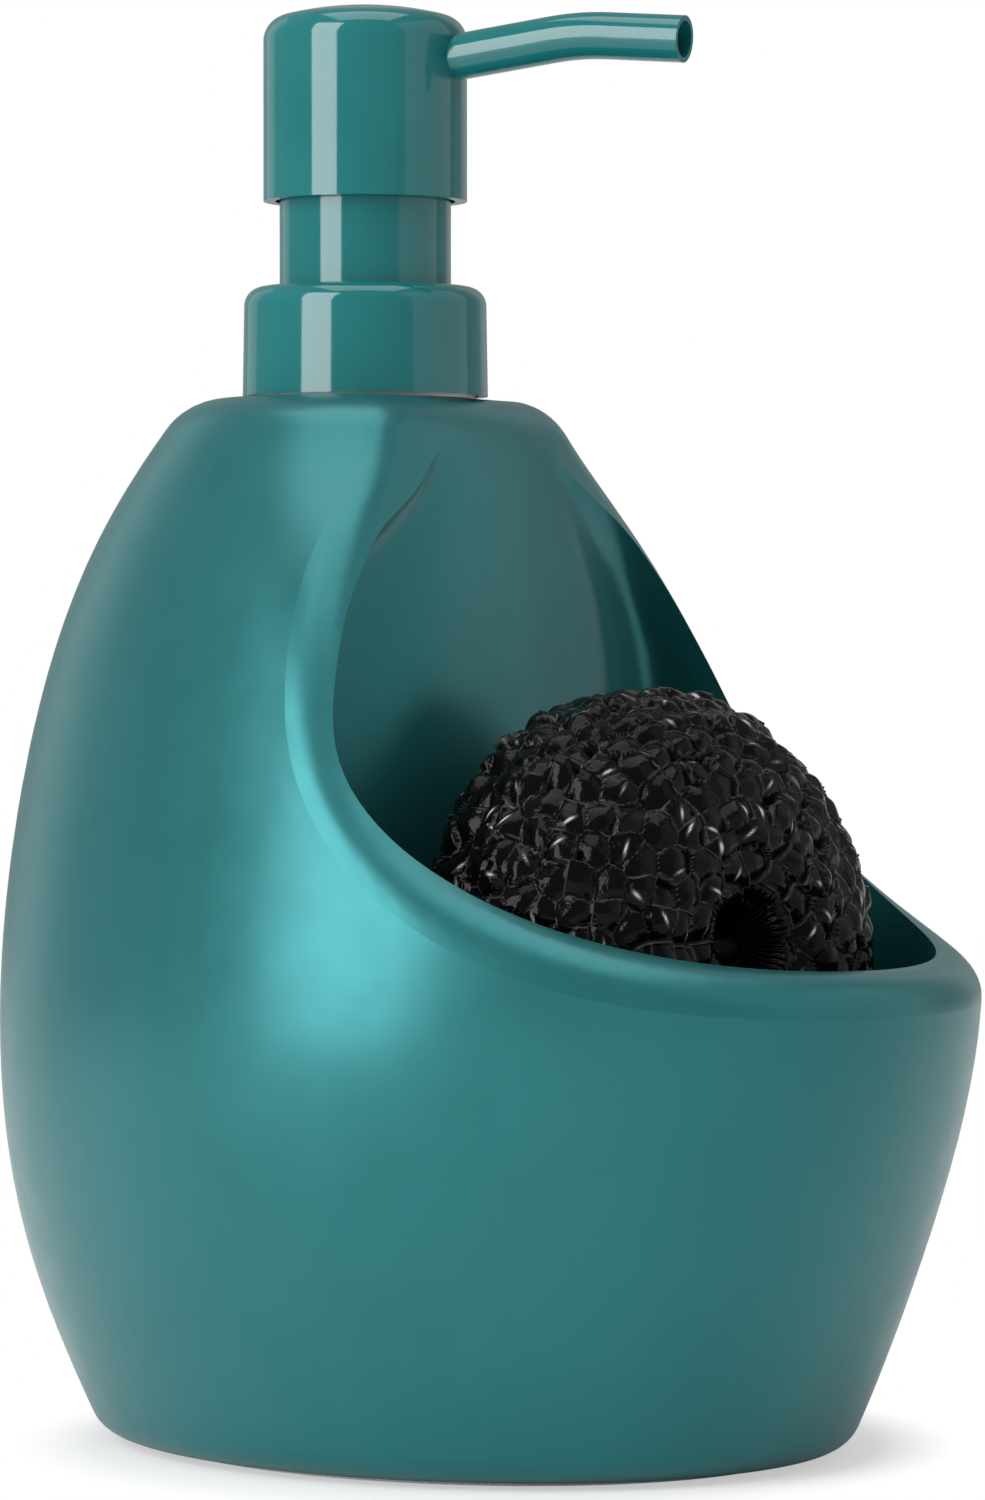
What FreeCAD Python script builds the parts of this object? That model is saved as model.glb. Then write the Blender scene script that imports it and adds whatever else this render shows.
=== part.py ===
import FreeCAD
import Part
import math
import os
import re
import Sketcher
from FreeCAD import Placement, Rotation, Vector

# A ceramic soap dispenser with a scrubber pocket scooped out of its front, and a screw-on hand pump.
# Millimetres, +Z up, the front of the pocket towards -Y, the table at Z = 0.
# The pump pieces are drawn about the pump axis, with heights measured from the flat top of the body.

doc = FreeCAD.newDocument("soap_pump_caddy")
sheet = doc.addObject("Spreadsheet::Sheet", "sizes")

SIZES = {
    # Egg-shaped body: heights, half widths, extra half depth front to back, and set back of each section
    "pad_thickness": 0.8,
    "pad_inset": 1.5,
    "foot_half_width": 45,
    "foot_extra_depth": 8,
    "foot_set_back": 2,
    "lower_height": 24,
    "lower_half_width": 52.5,
    "lower_extra_depth": 10.5,
    "lower_set_back": 2.5,
    "girth_height": 64,
    "girth_half_width": 57.2,
    "girth_extra_depth": 12.8,
    "girth_set_back": 0,
    "upper_height": 92,
    "upper_half_width": 51.8,
    "upper_extra_depth": 13,
    "upper_set_back": 2.2,
    "shoulder_drop": 21,
    "shoulder_half_width": 39.3,
    "shoulder_extra_depth": 3.7,
    "shoulder_set_back": 14.5,
    "top_height": 141,
    "top_half_width": 25,
    "top_extra_depth": 0.5,
    "top_set_back": 18.5,
    "foot_round": 5,
    "top_round": 10,
    # Scoop: a lip line, an arc and a leaning wall, swept about an upright line behind the pump
    "pump_set_back": 20,
    "lip_reach": 68,
    "lip_height": 65.5,
    "lip_rise": 3,
    "scoop_radius": 60,
    "wall_lean": 25,
    "wall_ahead": 19.5,
    "wall_sweep": 79,
    "scoop_half_angle": 60,
    "scoop_overrun": 50,
    "lip_round": 5,
    "wing_round": 9,
    # Scrubber pocket and soap tank
    "lip_wall": 6.2,
    "pocket_floor": 33,
    "recess_wall": 2.5,
    "recess_drop": 7,
    "recess_lean": 15,
    "recess_arc": 130,
    "recess_tip": 4,
    "pocket_fore": 25,
    "pocket_blend": 5,
    "recess_blend": 14,
    "pocket_points": 36,
    "pocket_steps": 10,
    "pocket_spacing": 1.15,
    "pocket_floor_round": 2,
    "tank_wall": 5.5,
    "tank_floor": 7,
    "tank_roof": 8,
    # Threaded neck plug in the mouth of the body
    "mouth_radius": 13.5,
    "mouth_overrun": 1,
    "plug_depth": 12,
    "plug_gap": 0.7,
    "seal_base": 0.3,
    "seal_height": 8,
    "seal_ribs": 3,
    "seal_rib_height": 1.2,
    "seal_setback": 1,
    "plug_bore": 9.5,
    "flange_radius": 15.1,
    "flange_thickness": 1.2,
    "neck_radius": 12.55,
    "neck_height": 10,
    "thread_depth": 1.15,
    "thread_width": 1.2,
    "thread_crest": 0.7,
    "thread_pitch": 3.2,
    "thread_start": 1.5,
    "thread_rise": 4.8,
    "thread_gap": 0.3,
    "thread_bite": 0.2,
    "running_gap": 0.25,
    "face_gap": 0.1,
    "slide_gap": 0.04,
    "seat_gap": 0.05,
    # Collar
    "collar_radius": 16.75,
    "collar_draft": 0.25,
    "collar_wall": 1.25,
    "collar_top_thickness": 1,
    "collar_top_round": 2.6,
    "collar_foot_gap": 0.4,
    "closure_top_thickness": 1.2,
    "closure_chamfer": 1.6,
    # Pump
    "gasket_thickness": 1,
    "gasket_radius": 12.3,
    "pump_flange_radius": 13.3,
    "pump_flange_thickness": 1,
    "cylinder_radius": 7,
    "cylinder_wall": 1,
    "cylinder_depth": 41,
    "chamber_radius": 4.2,
    "inlet_radius": 1.8,
    "inlet_depth": 2,
    "socket_depth": 9,
    "socket_wall": 1.5,
    "ball_radius": 3,
    "ball_lift": 2,
    "cage_thickness": 1.5,
    "cage_hole_radius": 1,
    "cage_hole_circle": 2.7,
    "cage_holes_count": 6,
    "dip_tube_radius": 3.5,
    "dip_tube_bore": 2.5,
    "dip_tube_end_gap": 5,
    "sleeve_radius": 11.7,
    "sleeve_wall": 1,
    "sleeve_exposed": 11.7,
    "sleeve_overlap": 2,
    "guide_plug_depth": 4.2,
    "guide_flange": 1.2,
    "guide_boss_radius": 6,
    "guide_boss_height": 4,
    "wiper_thickness": 1,
    "stem_radius": 3.5,
    "stem_bore": 2,
    "stem_shoulder_radius": 5.2,
    "stem_shoulder_height": 3.4,
    "stem_chamber_radius": 2.6,
    "stem_head_gap": 2.9,
    "stem_ring_radius": 4.4,
    "stem_ring_height": 1.2,
    "outlet_bore": 1.3,
    "outlet_ball_radius": 2.2,
    "outlet_lift": 2,
    "piston_length": 7,
    "piston_head_gap": 0.3,
    "piston_lip": 2,
    "piston_waist": 0.9,
    "spring_wire": 0.5,
    "spring_radius": 4.3,
    "spring_turns": 7,
    # Head and spout
    "head_radius": 13.9,
    "head_wall": 1.6,
    "head_height": 26.6,
    "head_dome_radius": 46,
    "head_edge_round": 3.5,
    "head_top_thickness": 1.6,
    "core_depth": 9.5,
    "core_boss_radius": 6.5,
    "core_boss_depth": 9,
    "channel_radius": 1.9,
    "spout_radius": 3.15,
    "spout_wall": 0.7,
    "spout_turn": 12,
    "spout_drop": 9.2,
    "spout_root": 5,
    "spout_rise": 7.2,
    "spout_bend_reach": 31.8,
    "spout_bend_radius": 40,
    "spout_fall": 4.6,
    "spout_reach": 46.8,
    # Scrubber in the pocket
    "scrubber_radius": 34,
    "scrubber_half": 20,
    "scrubber_waist": 12,
    "scrubber_hole": 3,
    "scrubber_crown": 13,
    "scrubber_crown_arc": 14,
    "scrubber_rim_half": 5,
    "scrubber_rim_arc": 24,
    "scrubber_lean": 6,
    "scrubber_turn": 12,
    "scrubber_aside": 6.5,
    "scrubber_ahead": 31.5,
    "scrubber_height": 67.7,
    "tie_half": 9,
}


def fill_sheet():
    """Writes every size as a named cell of the sheet."""
    for row, (name, size) in enumerate(SIZES.items(), start=1):
        sheet.set("A%d" % row, name)
        sheet.set("B%d" % row, str(size))
        sheet.setAlias("B%d" % row, name)
    doc.recompute()


fill_sheet()


def bound(text):
    """A formula in size names as an expression on the sheet's cells, with degrees left as a unit."""
    words = r"\b(?!deg\b)[a-z]\w*\b(?!\()"
    return re.sub(words, lambda word: "sizes." + word.group(0), text)


def number(text):
    """A formula in size names worked out as a plain number."""
    return float(sheet.evalExpression(bound(text)))


def bind(item, **formulas):
    """Binds properties of an object to formulas in size names."""
    for name, text in formulas.items():
        item.setExpression(name, bound(text))


def place(item, across="0", back="0", up="0"):
    """Binds where an object stands."""
    item.setExpression("Placement.Base.x", bound(across))
    item.setExpression("Placement.Base.y", bound(back))
    item.setExpression("Placement.Base.z", bound(up))


def add(kind, name, **formulas):
    """A Part object with its sizes bound to formulas."""
    item = doc.addObject(kind, name)
    bind(item, **formulas)
    return item


def boolean(kind, name, base, tool):
    """A cut, fuse or common of two objects."""
    item = doc.addObject(kind, name)
    item.Base = base
    item.Tool = tool
    item.Refine = False
    doc.recompute()
    return item


def rounded(name, base, radii):
    """A fillet of base, where radii gives an edge's start and end radius, or None to leave it sharp."""
    item = doc.addObject("Part::Fillet", name)
    item.Base = base
    rows = []
    for index, edge in enumerate(base.Shape.Edges, start=1):
        pair = radii(edge)
        if pair:
            rows.append((index, pair[0], pair[1]))
    item.Edges = rows
    doc.recompute()
    return item


def draw(sketch, outline):
    """Draws a closed outline of (across, up) points, counter-clockwise, each point bound to its formulas.

    A third entry makes the stretch that leaves the point an outward arc of that radius.
    """
    points = [Vector(number(row[0]), number(row[1]), 0) for row in outline]
    count = len(points)
    for index, row in enumerate(outline):
        start, end = points[index], points[(index + 1) % count]
        if len(row) == 2:
            sketch.addGeometry(Part.LineSegment(start, end))
            continue
        radius = number(row[2])
        chord = end - start
        reach = math.sqrt(radius ** 2 - (chord.Length / 2) ** 2)
        inward = Vector(-chord.y, chord.x, 0).normalize()
        centre = (start + end) / 2 + inward * reach
        first = math.atan2(start.y - centre.y, start.x - centre.x)
        last = math.atan2(end.y - centre.y, end.x - centre.x)
        circle = Part.Circle(centre, Vector(0, 0, 1), radius)
        sketch.addGeometry(Part.ArcOfCircle(circle, first, last))
    for index, row in enumerate(outline):
        before = (index - 1) % count
        sketch.addConstraint(Sketcher.Constraint("Coincident", before, 2, index, 1))
        if row[0] == "0":
            sketch.addConstraint(Sketcher.Constraint("PointOnObject", index, 1, -2))
        else:
            pin = Sketcher.Constraint("DistanceX", -1, 1, index, 1, points[index].x)
            place_pin(sketch, pin, row[0])
        pin = Sketcher.Constraint("DistanceY", -1, 1, index, 1, points[index].y)
        place_pin(sketch, pin, row[1])
        if len(row) == 3:
            place_pin(sketch, Sketcher.Constraint("Radius", index, number(row[2])), row[2])


def place_pin(sketch, constraint, text):
    """Adds a sized constraint and binds it to its formula."""
    index = sketch.addConstraint(constraint)
    sketch.setExpression("Constraints[%d]" % index, bound(text))


def origin_plane(body, role):
    """One of a body's own origin planes."""
    return next(item for item in body.Origin.OriginFeatures if item.Role == role)


def new_sketch(body, name, role="XZ_Plane"):
    """A sketch on one of the body's origin planes."""
    sketch = body.newObject("Sketcher::SketchObject", name)
    sketch.AttachmentSupport = [(origin_plane(body, role), "")]
    sketch.MapMode = "FlatFace"
    return sketch


def turned(label, outline):
    """A body turned from its half outline (radius, height), standing on the pump axis."""
    body = doc.addObject("PartDesign::Body", label)
    sketch = new_sketch(body, label + "_outline")
    draw(sketch, outline)
    turn = body.newObject("PartDesign::Revolution", label + "_turned")
    turn.Profile = sketch
    turn.ReferenceAxis = (sketch, ["V_Axis"])
    turn.Angle = 360
    place(body, back="pump_set_back", up="top_height")
    doc.recompute()
    return body


def soften(body, name, radius, chosen):
    """Rounds the chosen edges of a body."""
    base = body.Tip
    names = ["Edge%d" % n for n, edge in enumerate(base.Shape.Edges, start=1) if chosen(edge)]
    fillet = body.newObject("PartDesign::Fillet", name)
    fillet.Base = (base, names)
    bind(fillet, Radius=radius)
    doc.recompute()


def ring_at(radius, height):
    """Chooses the round edge of that radius at that height."""
    def chosen(edge):
        if edge.Degenerated or not isinstance(edge.Curve, Part.Circle):
            return False
        near_height = abs(edge.BoundBox.ZMin - number(height)) < NEAR
        return near_height and abs(edge.Curve.Radius - number(radius)) < NEAR
    return chosen


# Ceramic body

# How near an edge lies to the height or radius that picks it, and how often a range is halved in a search
NEAR = 0.01
HALVINGS = 16

STATION_HEIGHTS = {
    "foot": "pad_thickness",
    "lower": "lower_height",
    "girth": "girth_height",
    "upper": "upper_height",
    "shoulder": "top_height - shoulder_drop",
    "top": "top_height",
}


def egg(name, inset):
    """The egg-shaped loft through the six oval sections, drawn in by inset all round."""
    ovals = []
    for station, height in STATION_HEIGHTS.items():
        half_width = "%s_half_width - (%s)" % (station, inset)
        oval = add("Part::Ellipse", "%s_%s" % (name, station), MinorRadius=half_width,
                   MajorRadius="%s + %s_extra_depth" % (half_width, station))
        oval.Placement.Rotation = Rotation(Vector(0, 0, 1), 90)
        place(oval, back=station + "_set_back", up=height)
        ovals.append(oval)
    loft = doc.addObject("Part::Loft", name)
    loft.Sections = ovals
    loft.Solid = True
    doc.recompute()
    return loft


def scoop_profile():
    """The side view of the scoop: the lip line, an arc tangent to it, and the leaning wall."""
    sketch = doc.addObject("Sketcher::SketchObject", "scoop_profile")
    sketch.Placement = Placement(Vector(0, 0, 0), Rotation(Vector(1, 1, 1), 120))
    rise, lean = math.radians(number("lip_rise")), math.radians(number("wall_lean"))
    along_lip = Vector(math.cos(rise), math.sin(rise), 0)
    up_wall = Vector(math.sin(lean), math.cos(lean), 0)
    overrun = number("scoop_overrun")
    front = Vector(number("-lip_reach"), number("lip_height"), 0) - along_lip * overrun
    crest = Vector(number("pump_set_back - wall_ahead"), number("top_height"), 0) + up_wall * overrun
    gap = crest - front
    run = (gap.x * up_wall.y - gap.y * up_wall.x) / (along_lip.x * up_wall.y - along_lip.y * up_wall.x)
    corner = front + along_lip * run
    radius = number("scoop_radius")
    half_turn = along_lip.getAngle(up_wall) / 2
    foot = corner - along_lip * radius * math.tan(half_turn)
    head = corner + up_wall * radius * math.tan(half_turn)
    centre = foot + Vector(-along_lip.y, along_lip.x, 0) * radius
    middle = centre + (corner - centre).normalize() * radius
    above = Vector(front.x, crest.y, 0)
    sketch.addGeometry(Part.LineSegment(front, foot))
    sketch.addGeometry(Part.Arc(foot, middle, head))
    sketch.addGeometry(Part.LineSegment(head, crest))
    sketch.addGeometry(Part.LineSegment(crest, above))
    sketch.addGeometry(Part.LineSegment(above, front))
    sketch.addConstraint(Sketcher.Constraint("Tangent", 0, 2, 1, 1))
    sketch.addConstraint(Sketcher.Constraint("Tangent", 1, 2, 2, 1))
    sketch.addConstraint(Sketcher.Constraint("Coincident", 2, 2, 3, 1))
    sketch.addConstraint(Sketcher.Constraint("Coincident", 3, 2, 4, 1))
    sketch.addConstraint(Sketcher.Constraint("Coincident", 4, 2, 0, 1))
    sketch.addConstraint(Sketcher.Constraint("Horizontal", 3))
    sketch.addConstraint(Sketcher.Constraint("Vertical", 4))
    place_pin(sketch, Sketcher.Constraint("Radius", 1, radius), "scoop_radius")
    place_pin(sketch, Sketcher.Constraint("Angle", 0, rise), "lip_rise * 1 deg")
    place_pin(sketch, Sketcher.Constraint("Angle", 2, math.pi / 2 - lean), "(90 - wall_lean) * 1 deg")
    place_pin(sketch, Sketcher.Constraint("DistanceX", -1, 1, 0, 1, front.x),
              "-lip_reach - scoop_overrun * cos(lip_rise * 1 deg)")
    place_pin(sketch, Sketcher.Constraint("DistanceY", -1, 1, 0, 1, front.y),
              "lip_height - scoop_overrun * sin(lip_rise * 1 deg)")
    place_pin(sketch, Sketcher.Constraint("DistanceX", -1, 1, 2, 2, crest.x),
              "pump_set_back - wall_ahead + scoop_overrun * sin(wall_lean * 1 deg)")
    place_pin(sketch, Sketcher.Constraint("DistanceY", -1, 1, 2, 2, crest.y),
              "top_height + scoop_overrun * cos(wall_lean * 1 deg)")
    doc.recompute()
    return sketch


def scoop_half(name, sketch, way):
    """One half of the scoop, swept from the middle to the left or to the right."""
    half = doc.addObject("Part::Revolution", name)
    half.Source = sketch
    half.Axis = Vector(0, 0, way)
    half.Solid = True
    bind(half, Angle="scoop_half_angle")
    half.setExpression("Base.y", bound("pump_set_back + wall_sweep"))
    doc.recompute()
    return half


def rim_radii(shape):
    """Radii for the rim of the scoop: the lip's at the front, the wing's from the bend upwards."""
    bend = number("girth_height + lip_wall")

    def radius_at(vertex):
        return number("lip_round" if vertex.Point.z < bend else "wing_round")

    def radii(edge):
        kinds = [type(face.Surface).__name__ for face in shape.ancestorsOfType(edge, Part.Face)]
        swept = [kind in ("Cone", "Toroid") for kind in kinds]
        if len(swept) != 2 or all(swept) or not any(swept):
            return None
        return radius_at(edge.firstVertex(True)), radius_at(edge.lastVertex(True))
    return radii


RECESS_TOP = "top_height - recess_drop"
RECESS_AHEAD = "wall_ahead + recess_drop * tan(wall_lean * 1 deg)"
POCKET_AHEAD = RECESS_AHEAD + " + recess_arc * (1 - cos(recess_lean * 1 deg))"
POCKET_BEND = RECESS_TOP + " - recess_arc * sin(recess_lean * 1 deg)"
TANK_CEILING = "top_height - tank_roof"


def swept_solid(name, outline):
    """A solid turned about the upright line behind the pump that the scoop is swept about."""
    body = doc.addObject("PartDesign::Body", name)
    sketch = new_sketch(body, name + "_outline")
    draw(sketch, outline)
    turn = body.newObject("PartDesign::Revolution", name + "_turned")
    turn.Profile = sketch
    turn.ReferenceAxis = (sketch, ["V_Axis"])
    turn.Angle = 360
    place(body, back="pump_set_back + wall_sweep")
    doc.recompute()
    return body


def front_wall(height):
    """How far back the tank's front wall stands in the middle: upright low down, then arching back."""
    bend = max(0, height - number(POCKET_BEND))
    bend = min(bend, number("recess_arc * sin(recess_lean * 1 deg)"))
    arc = number("recess_arc")
    arched = arc - math.sqrt(arc ** 2 - bend ** 2)
    beyond = max(0, height - number(RECESS_TOP)) * number("tan(recess_lean * 1 deg)")
    return number("pump_set_back - (%s)" % POCKET_AHEAD) + arched + beyond


def oval_at(inner, height):
    """Half the width, half the depth and the middle of the drawn-in egg at a height."""
    box = inner.Shape.slice(Vector(0, 0, 1), height)[0].BoundBox
    return box.XLength / 2, box.YLength / 2, box.Center.y


def recess_half_width(inner, height):
    """Half the width of the drawn-in egg along the front wall, or nothing where the wall is ahead."""
    half_width, half_depth, middle = oval_at(inner, height)
    share = (front_wall(height) - middle) / half_depth
    return half_width * math.sqrt(max(0, 1 - share ** 2))


def pocket_top(inner):
    """The height where only the recess's tip is left of the pocket, found by halving."""
    low, high = number("girth_height"), number("top_height")
    for _ in range(HALVINGS):
        middle = (low + high) / 2
        if recess_half_width(inner, middle) > number("recess_tip"):
            low = middle
        else:
            high = middle
    return low


def pocket_outline(lip_egg, recess_egg, height):
    """The pocket's outline at a height: an oval inside the egg and the front wall, blended at the corners.

    Low down the oval is that of the egg drawn in by the lip. Higher up it passes into one that is centred
    on the front wall and as wide as the egg drawn in by the recess's thinner wall is there, so that the
    outline stays broad to where the pocket runs out.
    Each point lies on a ray from the middle. The shorter of the two distances, to the oval and to the
    wall, is taken softly: the sum of their inverse powers gives the inverse power of the distance.
    """
    wall = front_wall(height)
    _, recess_half_depth, recess_middle = oval_at(recess_egg, height)
    fore = max(wall - recess_middle + recess_half_depth, number("pocket_fore"))
    recess_width = recess_half_width(recess_egg, height)
    part = (height - number("girth_height")) / number("upper_height - girth_height")
    part = min(1, max(0, part))
    part = part ** 2 * (3 - 2 * part)
    half_width, half_depth, middle = oval_at(lip_egg if part < 1 else recess_egg, height)
    half_width += (recess_width - half_width) * part
    half_depth += (fore - half_depth) * part
    middle += (wall - middle) * part
    half_pocket = (wall - middle + half_depth) / 2
    pocket_middle = wall - half_pocket
    power = number("pocket_blend") + number("recess_blend - pocket_blend") * part
    sweep = number("wall_sweep + " + POCKET_AHEAD)
    count = int(number("pocket_points"))
    points = []
    for index in range(count):
        angle = 2 * math.pi * (index + 0.5) / count
        across, along = half_width * math.cos(angle), half_pocket * math.sin(angle)
        square = (across / half_width) ** 2 + (along / half_depth) ** 2
        offset = (pocket_middle - middle) / half_depth
        linear = offset * along / half_depth
        to_oval = (math.sqrt(linear ** 2 + square * (1 - offset ** 2)) - linear) / square
        inverse = to_oval ** -power
        sag = across ** 2 / (2 * sweep)
        spare = along ** 2 - 4 * sag * half_pocket
        if along > 0 and spare > 0:
            to_wall = 2 * half_pocket / (along + math.sqrt(spare))
            inverse += to_wall ** -power
        reach = inverse ** (-1 / power)
        points.append(Vector(across * reach, pocket_middle + along * reach, height))
    curve = Part.BSplineCurve()
    curve.interpolate(points, PeriodicFlag=True)
    outline = doc.addObject("Part::Feature", "pocket_outline")
    outline.Shape = Part.Wire(curve.toShape())
    return outline


def pocket_tool():
    """The pocket: a smooth loft from its flat floor up to where it runs out in the scoop's wall."""
    lip_egg, recess_egg = egg("pocket_egg", "lip_wall"), egg("recess_egg", "recess_wall")
    steps = int(number("pocket_steps"))
    floor, top = number("pocket_floor"), pocket_top(recess_egg)
    spacing = number("pocket_spacing")
    heights = [top - (top - floor) * (1 - step / steps) ** spacing for step in range(steps + 1)]
    loft = doc.addObject("Part::Loft", "pocket_loft")
    loft.Sections = [pocket_outline(lip_egg, recess_egg, height) for height in heights]
    loft.Solid = True
    doc.recompute()

    def floor_radii(edge):
        on_floor = edge.BoundBox.ZMax < floor + NEAR
        return (number("pocket_floor_round"),) * 2 if on_floor else None

    return rounded("pocket", loft, floor_radii)


def tank_tool():
    """The soap tank: the egg drawn in by the wall, behind the front wall."""
    low = "wall_sweep + %s - tank_wall" % POCKET_AHEAD
    high = "wall_sweep + wall_ahead - tank_wall / cos(wall_lean * 1 deg)"
    high += " + tank_roof * tan(wall_lean * 1 deg)"
    bound_solid = swept_solid("tank_bound", [
        ("0", "tank_floor"), (low, "tank_floor"), (low, POCKET_BEND), (high, TANK_CEILING),
        ("0", TANK_CEILING)])
    return boolean("Part::Common", "tank", egg("tank_egg", "tank_wall"), bound_solid)


def ceramic_body():
    """The glazed body: the egg with its scoop, rounded rim, pocket, tank and mouth."""
    outer = egg("outer_egg", "0")

    def end_radii(edge):
        box = edge.BoundBox
        if box.ZMax < number("pad_thickness") + NEAR:
            return (number("foot_round"),) * 2
        if box.ZMin > number("top_height") - NEAR:
            return (number("top_round"),) * 2
        return None

    smooth = rounded("outer_rounded", outer, end_radii)
    profile = scoop_profile()
    left = boolean("Part::Cut", "scooped_left", smooth, scoop_half("scoop_left", profile, -1))
    scooped = boolean("Part::Cut", "scooped", left, scoop_half("scoop_right", profile, 1))
    rimmed = rounded("rimmed", scooped, rim_radii(scooped.Shape))
    pocketed = boolean("Part::Cut", "pocketed", rimmed, pocket_tool())
    tanked = boolean("Part::Cut", "tanked", pocketed, tank_tool())
    mouth = add("Part::Cylinder", "mouth", Radius="mouth_radius", Height="top_height")
    place(mouth, back="pump_set_back", up=TANK_CEILING + " - mouth_overrun")
    return boolean("Part::Cut", "ceramic_body", tanked, mouth)


def base_pad():
    """A thin pad under the foot, a little smaller than the flat of the foot."""
    half_width = "foot_half_width - foot_round - pad_inset"
    oval = add("Part::Ellipse", "pad_oval", MinorRadius=half_width,
               MajorRadius=half_width + " + foot_extra_depth")
    oval.Placement.Rotation = Rotation(Vector(0, 0, 1), 90)
    place(oval, back="foot_set_back")
    pad = doc.addObject("Part::Extrusion", "base_pad")
    pad.Base = oval
    pad.DirMode = "Custom"
    pad.Dir = Vector(0, 0, 1)
    pad.Solid = True
    bind(pad, LengthFwd="pad_thickness")
    doc.recompute()
    return pad


# Levels of the pump, measured from the flat top of the body

NECK_TOP = "neck_height"
GASKET_TOP = NECK_TOP + " + gasket_thickness"
HOUSING_TOP = GASKET_TOP + " + pump_flange_thickness"
SLEEVE_FLANGE_TOP = HOUSING_TOP + " + pump_flange_thickness"
CLOSURE_UNDER = SLEEVE_FLANGE_TOP + " + face_gap"
CLOSURE_TOP = CLOSURE_UNDER + " + closure_top_thickness"
COLLAR_TOP = CLOSURE_TOP + " + collar_top_thickness"
HEAD_RIM = COLLAR_TOP + " + sleeve_exposed"
HEAD_TOP = HEAD_RIM + " + head_height"
HEAD_EDGE = HEAD_TOP + " - head_dome_radius + sqrt(head_dome_radius ^ 2 - head_radius ^ 2)"
HEAD_CEILING = HEAD_EDGE + " - head_top_thickness"
HEAD_INSIDE = "head_radius - head_wall"
CORE_FOOT = HEAD_CEILING + " - core_depth"
SPOUT_AXIS = HEAD_TOP + " - spout_drop"
STEM_TOP = SPOUT_AXIS + " - stem_head_gap"
CAGE_FOOT = HOUSING_TOP + " - cylinder_depth"
CAGE_TOP = CAGE_FOOT + " + cage_thickness"
BALL_CENTRE = CAGE_FOOT + " - face_gap - ball_lift - ball_radius"
SEAT_POINT = BALL_CENTRE + " - seat_gap - ball_radius * sqrt(2)"
SOCKET_TOP = SEAT_POINT + " + inlet_radius - inlet_depth"
SOCKET_FOOT = SOCKET_TOP + " - socket_depth"
GUIDE_FOOT = HOUSING_TOP + " - guide_plug_depth"
GUIDE_TOP = HOUSING_TOP + " + guide_flange + guide_boss_height"
PISTON_TOP = GUIDE_FOOT + " - piston_head_gap"
PISTON_FOOT = PISTON_TOP + " - piston_length"
SHOULDER_TOP = PISTON_FOOT + " - face_gap"
SHOULDER_FOOT = SHOULDER_TOP + " - stem_shoulder_height"
OUTLET_CENTRE = STEM_TOP + " - face_gap - outlet_lift - outlet_ball_radius"
OUTLET_POINT = OUTLET_CENTRE + " - seat_gap - outlet_ball_radius * sqrt(2)"
STEM_SLIDE = "stem_radius + slide_gap"


def threaded(body, root, crest, start):
    """Adds a screw ridge between the root and crest radii, on the pitch that both threads share."""
    sketch = new_sketch(body, body.Name + "_ridge")
    width, narrow = "thread_width / 2", "thread_crest / 2"
    ridge = [(root, start + " - " + width), (crest, start + " - " + narrow),
             (crest, start + " + " + narrow), (root, start + " + " + width)]
    draw(sketch, ridge if number(crest) > number(root) else ridge[::-1])
    helix = body.newObject("PartDesign::AdditiveHelix", body.Name + "_thread")
    helix.Profile = sketch
    helix.ReferenceAxis = (sketch, ["V_Axis"])
    helix.Mode = "pitch-height-angle"
    helix.Angle = 0
    bind(helix, Pitch="thread_pitch", Height="thread_rise")
    doc.recompute()


def neck_plug():
    """The threaded neck, pushed into the mouth of the body by its lower end."""
    insert = "mouth_radius - plug_gap"
    groove = "-seal_setback - seal_height"
    plug = turned("neck_plug", [
        ("plug_bore", "-plug_depth"), (insert + " + seal_base", "-plug_depth"),
        (insert + " + seal_base", groove), (insert, groove), (insert, "0"), ("flange_radius", "0"),
        ("flange_radius", "flange_thickness"), ("neck_radius", "flange_thickness"),
        ("neck_radius", NECK_TOP), ("plug_bore", NECK_TOP)])
    threaded(plug, "neck_radius - thread_bite", "neck_radius + thread_depth",
             "flange_thickness + thread_start")
    return plug


def plug_seal():
    """A soft ring round the plug whose ribs press on the mouth of the body."""
    inner = "mouth_radius - plug_gap"
    valley = inner + " + seal_base"
    foot = "-seal_setback - seal_height"
    count = int(number("seal_ribs"))
    outline = [(inner, foot), (valley, foot)]
    for index in range(count):
        middle = "%s + seal_height * %d / %d" % (foot, 2 * index + 1, 2 * count)
        for radius, side in ((valley, "- 0.5"), ("mouth_radius", "- 0.25"),
                             ("mouth_radius", "+ 0.25"), (valley, "+ 0.5")):
            outline.append((radius, "%s %s * seal_rib_height" % (middle, side)))
    outline += [(valley, "-seal_setback"), (inner, "-seal_setback")]
    return turned("plug_seal", outline)


def threaded_closure():
    """The inner cap that screws onto the neck and holds the pump down by its flange."""
    inside = "neck_radius + thread_depth + thread_gap"
    outside = "collar_radius - collar_wall"
    hole = "sleeve_radius + running_gap"
    foot = "flange_thickness + collar_foot_gap"
    closure = turned("threaded_closure", [
        (inside, foot), (outside, foot), (outside, CLOSURE_TOP + " - closure_chamfer"),
        (outside + " - closure_chamfer", CLOSURE_TOP), (hole, CLOSURE_TOP), (hole, CLOSURE_UNDER),
        (inside, CLOSURE_UNDER)])
    threaded(closure, inside + " + thread_bite", "neck_radius + thread_gap",
             "flange_thickness + thread_start + thread_pitch / 2")
    return closure


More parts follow.
